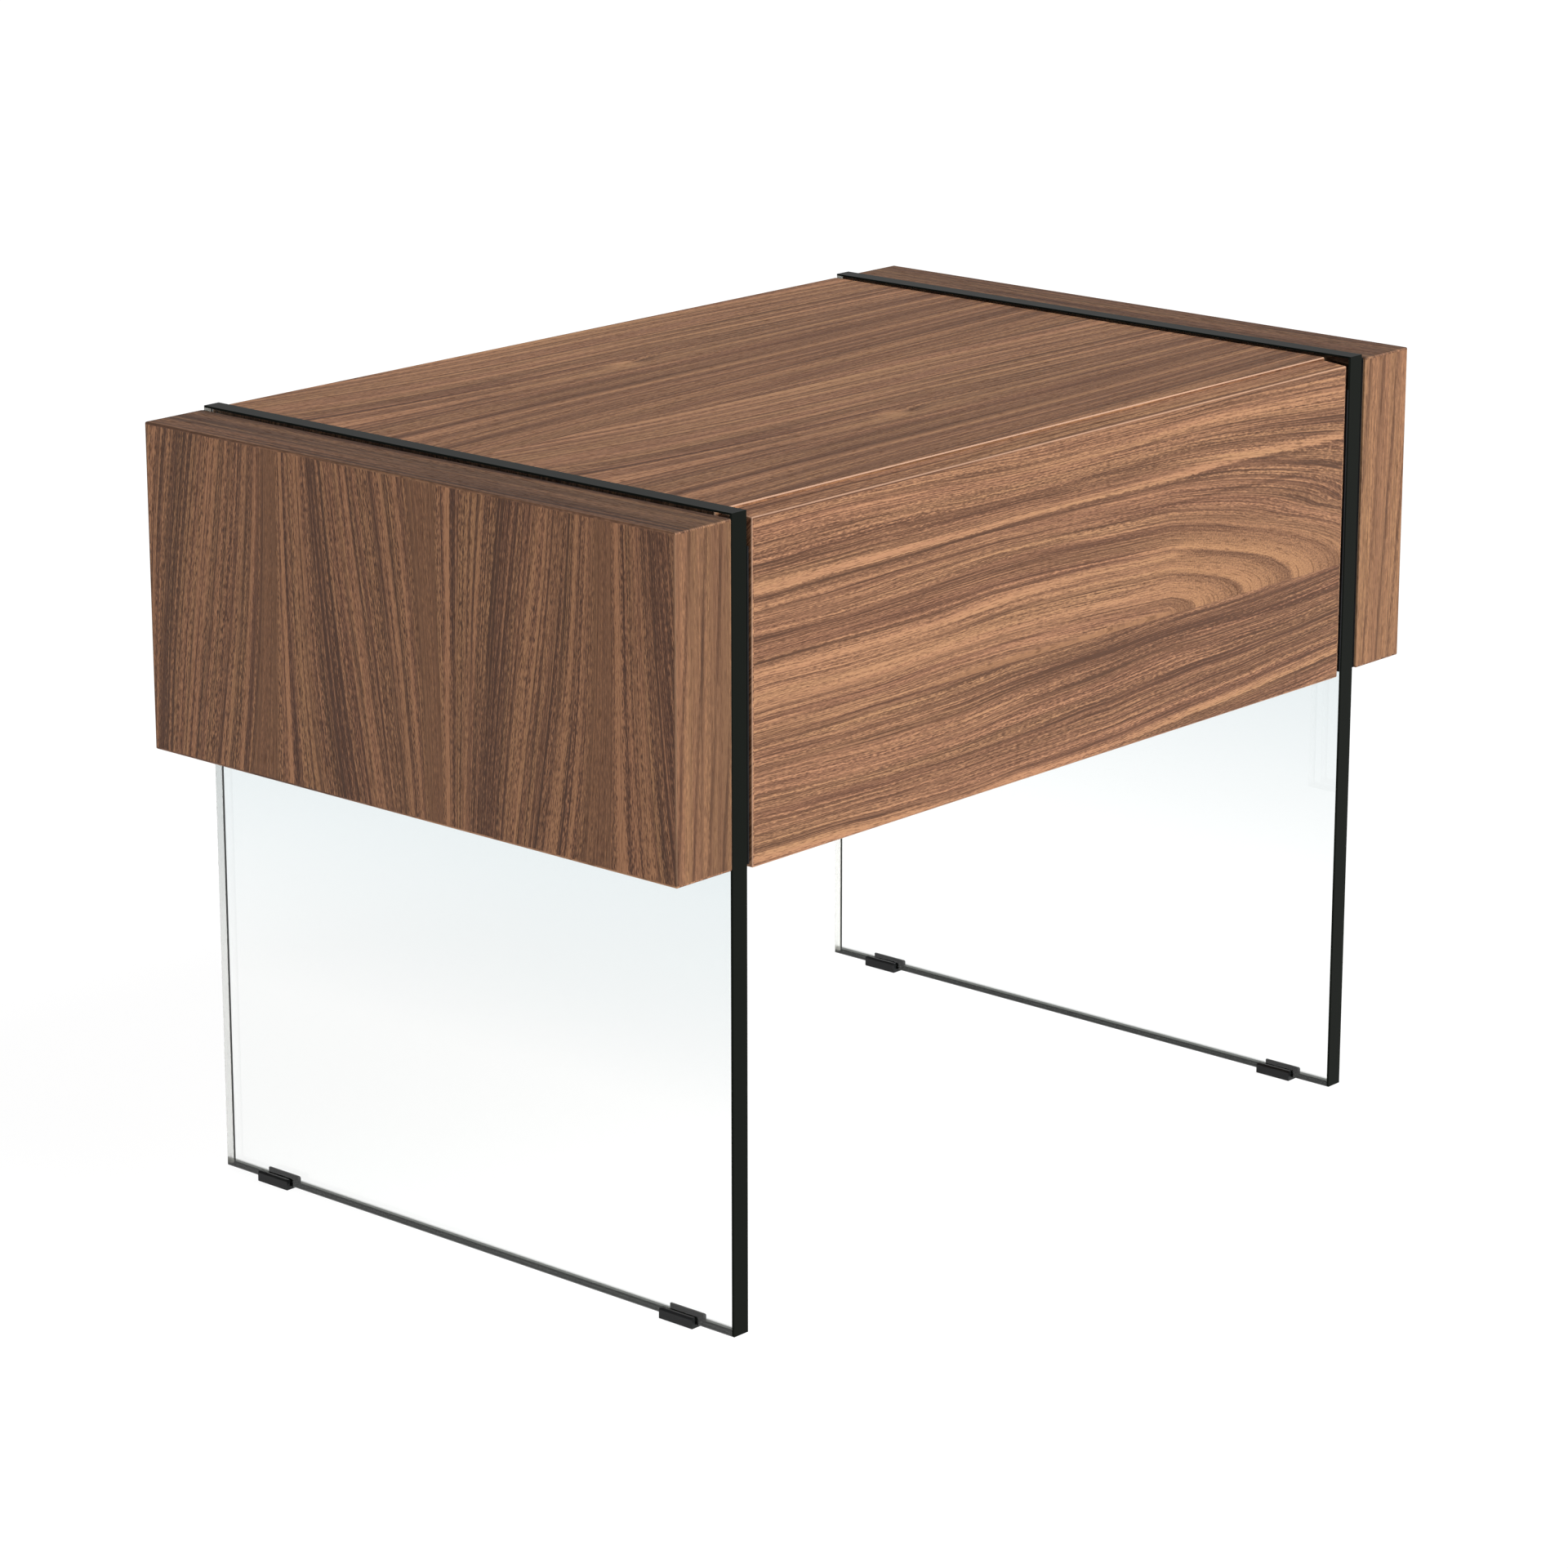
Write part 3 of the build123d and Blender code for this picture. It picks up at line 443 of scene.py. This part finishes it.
def moulded(name, base, roughness, gloss=0.5, grain_mm=0.35, depth=0.02):
    """Plastic or rubber with a fine moulded texture and a little dust in it."""
    g = Graph(name)
    grain = g.clouds(grain_mm, 2.0)
    dust = g.clouds(9.0, 3.0)
    colour = g.mix(g.remap(dust, 0.45, 0.8), base, tuple(c * 1.6 + 0.004 for c in base))
    g.surface(
        Base_Color=colour,
        Roughness=g.add(roughness, g.times(g.add(dust, -0.5), 0.2)),
        Specular_IOR_Level=gloss,
        Normal=g.bump(grain, depth),
    )
    return g.material


DRAW_LENGTH, DRAW_WIDTH = 40.0, 0.25  # of the lines that drawing or rolling leaves


def metal(name, base, roughness, grain="y"):
    """Plated or rolled steel with fine draw lines along one axis."""
    g = Graph(name)
    axes = g.axes()
    size = {axis: (DRAW_LENGTH if axis == grain else DRAW_WIDTH) for axis in "xyz"}
    lines = g.cells(*[(axes[a], size[a]) for a in "xyz"])
    cloud = g.clouds(12.0, 3.0)
    tonal = g.add(g.times(lines, 0.5), g.times(cloud, 0.5))
    colour = g.ramp(tonal, (0.3, shade(base, 0.72)), (0.5, base), (0.7, shade(base, 1.12)))
    g.surface(
        Base_Color=colour,
        Metallic=1.0,
        Roughness=g.add(roughness, g.times(g.add(lines, -0.5), 0.25)),
        Normal=g.bump(lines, 0.01),
    )
    return g.material


# ------------------------------------------------------------------ camera and light
CAMERA_AZIMUTH = -48.266  # degrees; 0 is in front, 90 is on the table's right
CAMERA_ELEVATION = 16.126
CAMERA_DISTANCE = 2.857
CAMERA_TARGET = Vector((-0.0075, 0.003, 0.2011))
CAMERA_LENS = 119.2  # millimetres, on a 36 mm frame
FLOOR_HALF = 30.0  # metres from the middle to a side
FLOOR_Z = -0.0003  # just under the shoes
FLOOR_TONES = (0.115, 0.125)
FLOOR_MOTTLE = 300.0
FLOOR_GLOW = 0.955


def direction(azimuth, elevation):
    """The way from the table towards a camera or a light."""
    a, e = math.radians(azimuth), math.radians(elevation)
    return Vector((math.sin(a) * math.cos(e), -math.cos(a) * math.cos(e), math.sin(e)))


def make_camera():
    """Stands in front and to the left, a little above the top, with a long lens."""
    camera = bpy.data.objects.new("camera", bpy.data.cameras.new("camera"))
    bpy.context.scene.collection.objects.link(camera)
    back = direction(CAMERA_AZIMUTH, CAMERA_ELEVATION)
    camera.location = CAMERA_TARGET + back * CAMERA_DISTANCE
    camera.rotation_euler = (-back).to_track_quat("-Z", "Y").to_euler()
    camera.data.sensor_width = 36.0
    camera.data.lens = CAMERA_LENS
    camera.data.clip_end = 100.0
    bpy.context.scene.camera = camera


def make_sun(name, azimuth, elevation, strength, spread):
    """A broad, soft light from far away."""
    lamp = bpy.data.lights.new(name, "SUN")
    lamp.energy = strength
    lamp.angle = math.radians(spread)
    holder = bpy.data.objects.new(name, lamp)
    bpy.context.scene.collection.objects.link(holder)
    holder.rotation_euler = direction(azimuth, elevation).to_track_quat("Z", "Y").to_euler()


def make_world(seen, lighting):
    """White where it is looked at, dimmer as a light."""
    world = bpy.data.worlds.new("studio")
    bpy.context.scene.world = world
    world.use_nodes = True
    tree = world.node_tree
    tree.nodes.clear()
    output = tree.nodes.new("ShaderNodeOutputWorld")
    path, either = tree.nodes.new("ShaderNodeLightPath"), tree.nodes.new("ShaderNodeMath")
    either.operation = "MAXIMUM"
    mix = tree.nodes.new("ShaderNodeMixShader")
    tree.links.new(path.outputs["Is Camera Ray"], either.inputs[0])
    tree.links.new(path.outputs["Is Transmission Ray"], either.inputs[1])
    tree.links.new(either.outputs[0], mix.inputs[0])
    for socket, strength in ((mix.inputs[1], lighting), (mix.inputs[2], seen)):
        white = tree.nodes.new("ShaderNodeBackground")
        white.inputs["Color"].default_value = (1.0, 1.0, 1.0, 1.0)
        white.inputs["Strength"].default_value = strength
        tree.links.new(white.outputs[0], socket)
    tree.links.new(mix.outputs[0], output.inputs["Surface"])


def make_floor():
    """A pale sheet of studio floor, lit a little from itself so that shadows stay light."""
    corners = [(-1, -1), (1, -1), (1, 1), (-1, 1)]
    mesh = bpy.data.meshes.new("floor")
    mesh.from_pydata([(x * FLOOR_HALF, y * FLOOR_HALF, FLOOR_Z) for x, y in corners], [], [(0, 1, 2, 3)])
    floor = bpy.data.objects.new("floor", mesh)
    bpy.context.scene.collection.objects.link(floor)
    g = Graph("studio_floor")
    x, y, _ = g.place()
    mottle = g.cells((x, FLOOR_MOTTLE), (y, FLOOR_MOTTLE), 0.0)
    low, high = FLOOR_TONES
    colour = g.ramp(mottle, (0.3, (low, low, low)), (0.7, (high, high, high)))
    g.surface(
        Base_Color=colour,
        Roughness=0.9,
        Specular_IOR_Level=0.0,
        Emission_Color=(1.0, 1.0, 1.0),
        Emission_Strength=FLOOR_GLOW,
    )
    mesh.materials.append(g.material)


make_camera()
make_sun("key", azimuth=22.0, elevation=40.0, strength=3.7, spread=34.0)
make_world(seen=1.0, lighting=0.3)
make_floor()
bpy.context.scene.view_settings.view_transform = "Standard"


# ------------------------------------------------------------------ materials on the nodes
BLOCK_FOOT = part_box("left_block_face")[0].z * MM
FACE_MIDDLE = BLOCK_FOOT + 90.0
SPLICE_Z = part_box("drawer_front")[0].z * MM + 64.0  # two veneer leaves meet here on the front
LOWER_SHIFT = 400.0  # the leaf below the splice comes from another part of the wood
ARCH_X = 64.0  # the arches are parabolas around this place
ARCH_LEVEL = 25.0  # to the left of this far past it, they run level
ARCH_STEP = 44.5  # from the tip of one arch to the next
ARCH_PITCH = 13.3  # from one to the next where they run level
ARCH_STEADY = 0.35  # how much of the grain's sway is left in the arches
RING_TONES = (  # from just outside one arch to just inside the next
    (0.00, -0.05),
    (0.08, 0.24),
    (0.38, 0.18),
    (0.70, 0.03),
    (0.93, -0.13),
    (1.00, -0.11),
)
LEAF = 118.0  # the width of a veneer leaf on the block faces
LEAF_START = -148.0
LEAF_LEAN = 0.15  # how far the lines lean in the middle of a leaf, to either side in turn
FACE_RIPPLE = 4.3  # from one thin dark line to the next on the block faces
END_PITCH = 11.8  # and on the blocks' ends
END_START = 0.21
END_LEAN = 0.06
TOP_LEAF = 195.0  # the width of a leaf on the top
TOP_STRIPE = 8.3  # from one growth ring to the next there
KNOT_X, KNOT_V = -18.0, 105.0  # the pin knot in each of its leaves

# Lines that a leaf is known by. Each is a place across the grain, how far below it the line
# begins, how far above it the line ends, and its tone.
FACE_LIGHT = (
    (22.0, 1.0, 4.0, 0.30),
    (31.0, 1.5, 5.5, 0.22),
    (56.0, 2.0, 15.0, 0.22),
    (96.0, 1.5, 14.0, 0.20),
)
FACE_DARK = (
    (25.5, 0.5, 2.0, -0.18),
    (38.0, 1.5, 10.0, -0.10),
    (77.0, 2.0, 19.0, -0.14),
    (110.5, 0.6, 2.5, -0.20),
)
FACE_SEAM = (113.8, 0.6, 4.0, 0.55)
TOP_LINES = (
    (22.0, 1.5, 6.0, 0.12),
    (38.0, 6.0, 4.0, -0.14),
    (50.0, 1.5, 5.0, 0.18),
    (61.0, 2.0, 6.0, 0.30),
    (68.0, 1.0, 4.0, -0.14),
    (80.0, 3.0, 14.0, -0.12),
    (99.0, 2.0, 11.0, 0.24),
    (114.0, 3.0, 4.0, -0.12),
    (182.0, 1.5, 5.0, 0.26),
)
END_LINE = (3.0, 0.9, 2.6, -0.30)


def lines(g, across, *rows):
    """Light or dark lines that sharpen on one side and fade on the other."""
    drawn = []
    for place, below, above, tone in rows:
        rising = g.remap(across, place - below, place, 0.0, tone)
        drawn.append(g.times(rising, g.remap(across, place + 0.35 * above, place + above, 1.0, 0.0)))
    return g.add(*drawn)


def arches(g, x, rise):
    """Which arch a point lies in, counted from the innermost, and how freely the grain varies."""
    past = g.math("MAXIMUM", g.add(x, -ARCH_X, -ARCH_LEVEL), 0.0)
    level = g.remap(x, -60.0, ARCH_X + ARCH_LEVEL, 2.0, ARCH_LEVEL)
    reach = g.add(level, g.times(past, g.remap(rise, 40.0, 110.0, 1.0, 0.0)))
    across = g.times(g.times(rise, rise), ARCH_STEP)
    root = g.math("SQRT", g.add(g.times(reach, reach), across))
    steepness = g.math("DIVIDE", g.times(rise, ARCH_STEP), root)
    return g.times(g.add(reach, root), 0.5 / ARCH_STEP), g.remap(steepness, 0.0, 5.0, 0.25, 1.0)


def upper_front(g, x, v, line, feather):
    """Flat-cut arches, and the lines to their left and above them."""
    bend = g.times(g.math("SUBTRACT", line, v), g.remap(x, -80.0, 80.0, 1.0, ARCH_STEADY))
    arch, free = arches(g, x, g.add(v, bend, -SPLICE_Z))
    tones = [(place, (0.5 + tone,) * 3) for place, tone in RING_TONES]
    ring = g.add(g.ramp(g.math("FRACT", arch), *tones), -0.5)
    near = g.remap(arch, 3.6, 4.9, 1.0, 0.0)
    turned = g.times(g.remap(x, 60.0, 110.0), near)
    spots = g.cells((x, 1.3), (v, 0.9), 5.0, detail=1.0)
    up = g.add(line, -SPLICE_Z)
    jagged = g.add(up, feather)
    drawn = g.add(
        g.times(ring, g.times(near, g.remap(x, -60.0, 110.0, 0.3, 1.0))),
        g.times(g.times(g.add(spots, -0.5), 0.9), turned),
        lines(g, jagged, (75.2, 0.8, 5.5, 0.42)),
        lines(g, up, (73.2, 3.0, 1.5, -0.2), (85.2, 3.0, 14.0, -0.06), (41.2, 4.0, 20.0, -0.05)),
        g.times(lines(g, jagged, (31.7, 1.0, 5.5, 0.32)), g.remap(x, 115.0, 90.0)),
        g.times(lines(g, up, (15.2, 1.5, 16.0, 0.14)), g.remap(x, -40.0, -100.0)),
        g.times(lines(g, up, (61.2, 2.0, 1.5, -0.18)), g.remap(x, 30.0, 70.0)),
        g.times(lines(g, jagged, (100.2, 1.0, 4.5, 0.24)), g.remap(x, -60.0, 60.0, 0.3, 1.0)),
    )
    rings = g.add(SPLICE_Z, g.times(arch, ARCH_PITCH))
    return rings, drawn, g.times(g.add(1.0, g.times(turned, -0.72)), free)


def lower_front(g, x, line, feather):
    """Straight grain that darkens to the right."""
    slope = g.add(line, g.times(g.math("MAXIMUM", g.add(x, -40.0), 0.0), -0.05))
    dark = lines(g, g.add(line, -SPLICE_Z), (-15.8, 2.0, 4.0, -0.26))
    light = lines(g, g.add(slope, feather, -SPLICE_Z), (-62.8, 1.0, 5.5, 0.38))
    shaded = g.remap(x, -120.0, 40.0, -0.01, -0.15)
    return g.add(slope, LOWER_SHIFT), g.add(shaded, g.times(dark, g.remap(x, -110.0, 20.0)), light), 1.0


def front_figure(g, axes, v, line, feather):
    """One leaf above the splice and another below it."""
    above = g.math("GREATER_THAN", v, SPLICE_Z)
    below = g.math("SUBTRACT", 1.0, above)
    upper = upper_front(g, axes["x"], v, line, feather)
    lower = lower_front(g, axes["x"], line, feather)
    return [g.add(g.times(above, one), g.times(below, other)) for one, other in zip(upper, lower)]


def face_layout(g, axes, u):
    """Matched leaves side by side, whose lines lean one way and the other in turn."""
    y = axes["y"]
    turn = g.math("COSINE", g.times(g.add(y, -LEAF_START - LEAF / 2), math.pi / LEAF))
    lean = g.times(g.times(turn, LEAF_LEAN), g.add(axes["z"], -FACE_MIDDLE))
    place = g.times(g.add(y, lean, 2 * LEAF - LEAF_START), 1 / LEAF)
    leaf = g.math("FLOOR", place)
    return g.add(u, g.times(leaf, 170.0)), g.times(g.math("SUBTRACT", place, leaf), LEAF)


def face_figure(g, axes, v, line, feather):
    """Each leaf begins with a plain stretch and ends with a pale line at the seam."""
    plain = g.times(g.remap(line, 1.0, 3.0), g.remap(line, 14.0, 22.0, 1.0, 0.0))
    toothed = g.add(line, feather)
    stray = g.cells((line, 8.0), (axes["z"], 260.0), 3.0)
    ripple = g.sine(g.add(toothed, g.times(stray, 9.0)), FACE_RIPPLE)
    drawn = g.add(
        0.01,
        g.times(plain, -0.05),
        g.times(g.remap(ripple, -1.0, 0.4, -0.20, 0.04), g.math("SUBTRACT", 1.0, plain)),
        lines(g, toothed, *FACE_LIGHT),
        lines(g, line, *FACE_DARK),
        lines(g, v, FACE_SEAM),
    )
    return line, drawn, g.add(1.0, g.times(plain, -0.65))


def end_figure(g, axes, v, line, feather):
    """Smooth pale wood with a few soft dark lines that lean a little."""
    leaning = g.add(line, g.times(g.add(axes["z"], -FACE_MIDDLE), -END_LEAN))
    place = g.math("FRACT", g.add(g.times(leaning, 1 / END_PITCH), END_START))
    fading = g.cells((axes["z"], 70.0), (leaning, 9.0), 8.0, detail=1.0)
    strength = g.remap(fading, 0.35, 0.6, 0.25, 1.0)
    return line, g.add(0.03, g.times(lines(g, g.times(place, END_PITCH), END_LINE), strength)), 1.0


def top_layout(g, axes, u):
    """Two leaves, one behind the other, with the same gently spreading lines."""
    x = axes["x"]
    place = g.times(g.add(axes["y"], TOP_LEAF), 1 / TOP_LEAF)
    leaf = g.math("FLOOR", place)
    local = g.times(g.math("SUBTRACT", place, leaf), TOP_LEAF)
    slope = g.remap(local, 35.0, 115.0, -0.05, 0.02)
    beyond = g.math("MAXIMUM", g.add(g.times(x, -1.0), -60.0), 0.0)
    fan = g.times(g.times(g.times(beyond, beyond), -1 / 2200.0), g.remap(local, 95.0, 150.0))
    return g.add(u, g.times(leaf, 12.0)), g.add(local, g.times(x, slope), fan)


def top_figure(g, axes, v, line, feather):
    """Paler and more striped at the back of each leaf, with a pin knot in it."""
    x, aside = g.add(axes["x"], -KNOT_X), g.add(v, -KNOT_V)
    near = g.math("SQRT", g.add(g.times(x, x), g.times(g.times(aside, aside), 9.0)))
    knot = g.remap(near, 4.0, 26.0, 1.0, 0.0)
    striped = g.remap(line, 104.0, 124.0)
    stripe = g.sine(g.add(line, g.times(feather, 2.0)), TOP_STRIPE)
    drawn = g.add(
        -0.06,
        g.times(striped, 0.06),
        g.times(striped, g.remap(stripe, 0.0, 1.0, -0.05, 0.22)),
        g.times(knot, g.remap(x, -7.0, 7.0, 0.34, -0.34)),
        lines(g, line, *TOP_LINES),
    )
    return g.add(line, g.times(knot, 4.0)), drawn, g.remap(line, 70.0, 120.0, 0.75, 1.0)


def by_side(pattern, left, right):
    """The materials of a node that each side of the table has."""
    return {pattern.format(side="left"): left, pattern.format(side="right"): right}


def alike(pattern, material):
    """The same material on both sides."""
    return by_side(pattern, material, material)


RUBBER = moulded("black_rubber", (0.004, 0.004, 0.005), 0.6, 0.15)
PLASTIC = moulded("black_plastic", (0.004, 0.0045, 0.005), 0.42, 0.25)
NYLON = moulded("natural_plastic", (0.62, 0.62, 0.57), 0.45)
ZINC = metal("zinc_steel", (0.60, 0.62, 0.65), 0.28)
CAGE = metal("cage_steel", (0.42, 0.42, 0.43), 0.4)
BALL = metal("bearing_steel", (0.75, 0.75, 0.77), 0.12)
BOLT = metal("bolt_steel", (0.55, 0.56, 0.58), 0.3, "x")
BRASS = metal("brass_insert", (0.66, 0.46, 0.17), 0.3, "x")
GLASS_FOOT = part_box("left_glass_panel")[0].z * MM
GLASS = clear_glass(low=GLASS_FOOT + 110.0, high=BLOCK_FOOT, foot=GLASS_FOOT)
MDF = fibreboard("fibreboard", (0.30, 0.19, 0.115))
BEECH = plain_wood("beech_dowel", "y", "z", (0.52, 0.34, 0.19), 3.1)
DRAWER_SIDE = plain_wood("drawer_board_sides", "y", "z", (0.42, 0.27, 0.16), 1.7)
DRAWER_CROSS = plain_wood("drawer_board_ends", "x", "z", (0.42, 0.27, 0.16), 2.3)
DRAWER_FLOOR = plain_wood("drawer_floor_board", "x", "y", (0.46, 0.31, 0.19), 4.9, 0.18)
CASE_SIDE = walnut("case_board_sides", "y", "z", 5.0, 0.95)
LEFT_FACE = walnut("walnut_left_face", "z", "y", 1.0, 0.95, face_layout, face_figure, style=STRAIGHT)
RIGHT_FACE = walnut("walnut_right_face", "z", "y", 2.0, 0.95, face_layout, face_figure, style=STRAIGHT)
LEFT_LEVEL = walnut("walnut_left_edge", "y", "x", 3.0, 0.9, top_tone=0.50, edge_highlight=0.15, style=QUIET)
RIGHT_LEVEL = walnut("walnut_right_edge", "y", "x", 4.0, 0.9, top_tone=0.60, edge_highlight=0.15, style=QUIET)
LEFT_UPRIGHT = walnut("walnut_left_end", "z", "x", 6.0, 0.77, figure=end_figure, style=SMOOTH)
RIGHT_UPRIGHT = walnut("walnut_right_end", "z", "x", 7.0, 0.98, figure=end_figure, style=SMOOTH)

LOOKS = {
    **alike("{side}_glass_panel", GLASS),
    **alike("{side}_front_shoe", PLASTIC),
    **alike("{side}_back_shoe", PLASTIC),
    **alike("{side}_outer_gasket", RUBBER),
    **alike("{side}_inner_gasket", RUBBER),
    **by_side("{side}_block_face", LEFT_FACE, RIGHT_FACE),
    **alike("{side}_block_backer", MDF),
    **alike("{side}_block_core", MDF),
    **by_side("{side}_block_level_edging", LEFT_LEVEL, RIGHT_LEVEL),
    **by_side("{side}_block_upright_edging", LEFT_UPRIGHT, RIGHT_UPRIGHT),
    **alike("{side}_case_side", CASE_SIDE),
    **alike("{side}_cabinet_rail", ZINC),
    **alike("{side}_middle_rail", ZINC),
    **alike("{side}_drawer_rail", ZINC),
    **alike("{side}_outer_ball_cage", CAGE),
    **alike("{side}_inner_ball_cage", CAGE),
    **alike("{side}_outer_balls", BALL),
    **alike("{side}_inner_balls", BALL),
    **alike("{side}_drawer_side", DRAWER_SIDE),
    "leg_bolts": BOLT,
    "glass_bushes": NYLON,
    "threaded_inserts": BRASS,
    "case_dowels": BEECH,
    "drawer_box_dowels": BEECH,
    "drawer_bumpers": NYLON,
    "cabinet_rail_screws": BOLT,
    "drawer_rail_screws": BOLT,
    "drawer_front_screws": BOLT,
    "top_panel": walnut("walnut_top", "x", "y", 8.0, 1.0, top_layout, top_figure, style=QUIET),
    "top_panel_edging": walnut("walnut_top_edge", "x", "yz", 9.0, 1.15, edge_highlight=0.8, style=QUIET),
    "drawer_front": walnut("walnut_front", "x", "z", 10.0, 0.98, figure=front_figure),
    "drawer_front_edging": walnut("walnut_front_edge", "x", "yz", 11.0, 1.08, edge_highlight=0.6, style=QUIET),
    "case_bottom": walnut("case_board_bottom", "x", "y", 12.0, 0.95),
    "case_back": walnut("walnut_back", "x", "z", 13.0, 0.92),
    "drawer_box_front": DRAWER_CROSS,
    "drawer_box_back": DRAWER_CROSS,
    "drawer_floor": DRAWER_FLOOR,
}
for node, looks in LOOKS.items():
    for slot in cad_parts[node].material_slots:
        slot.material = looks
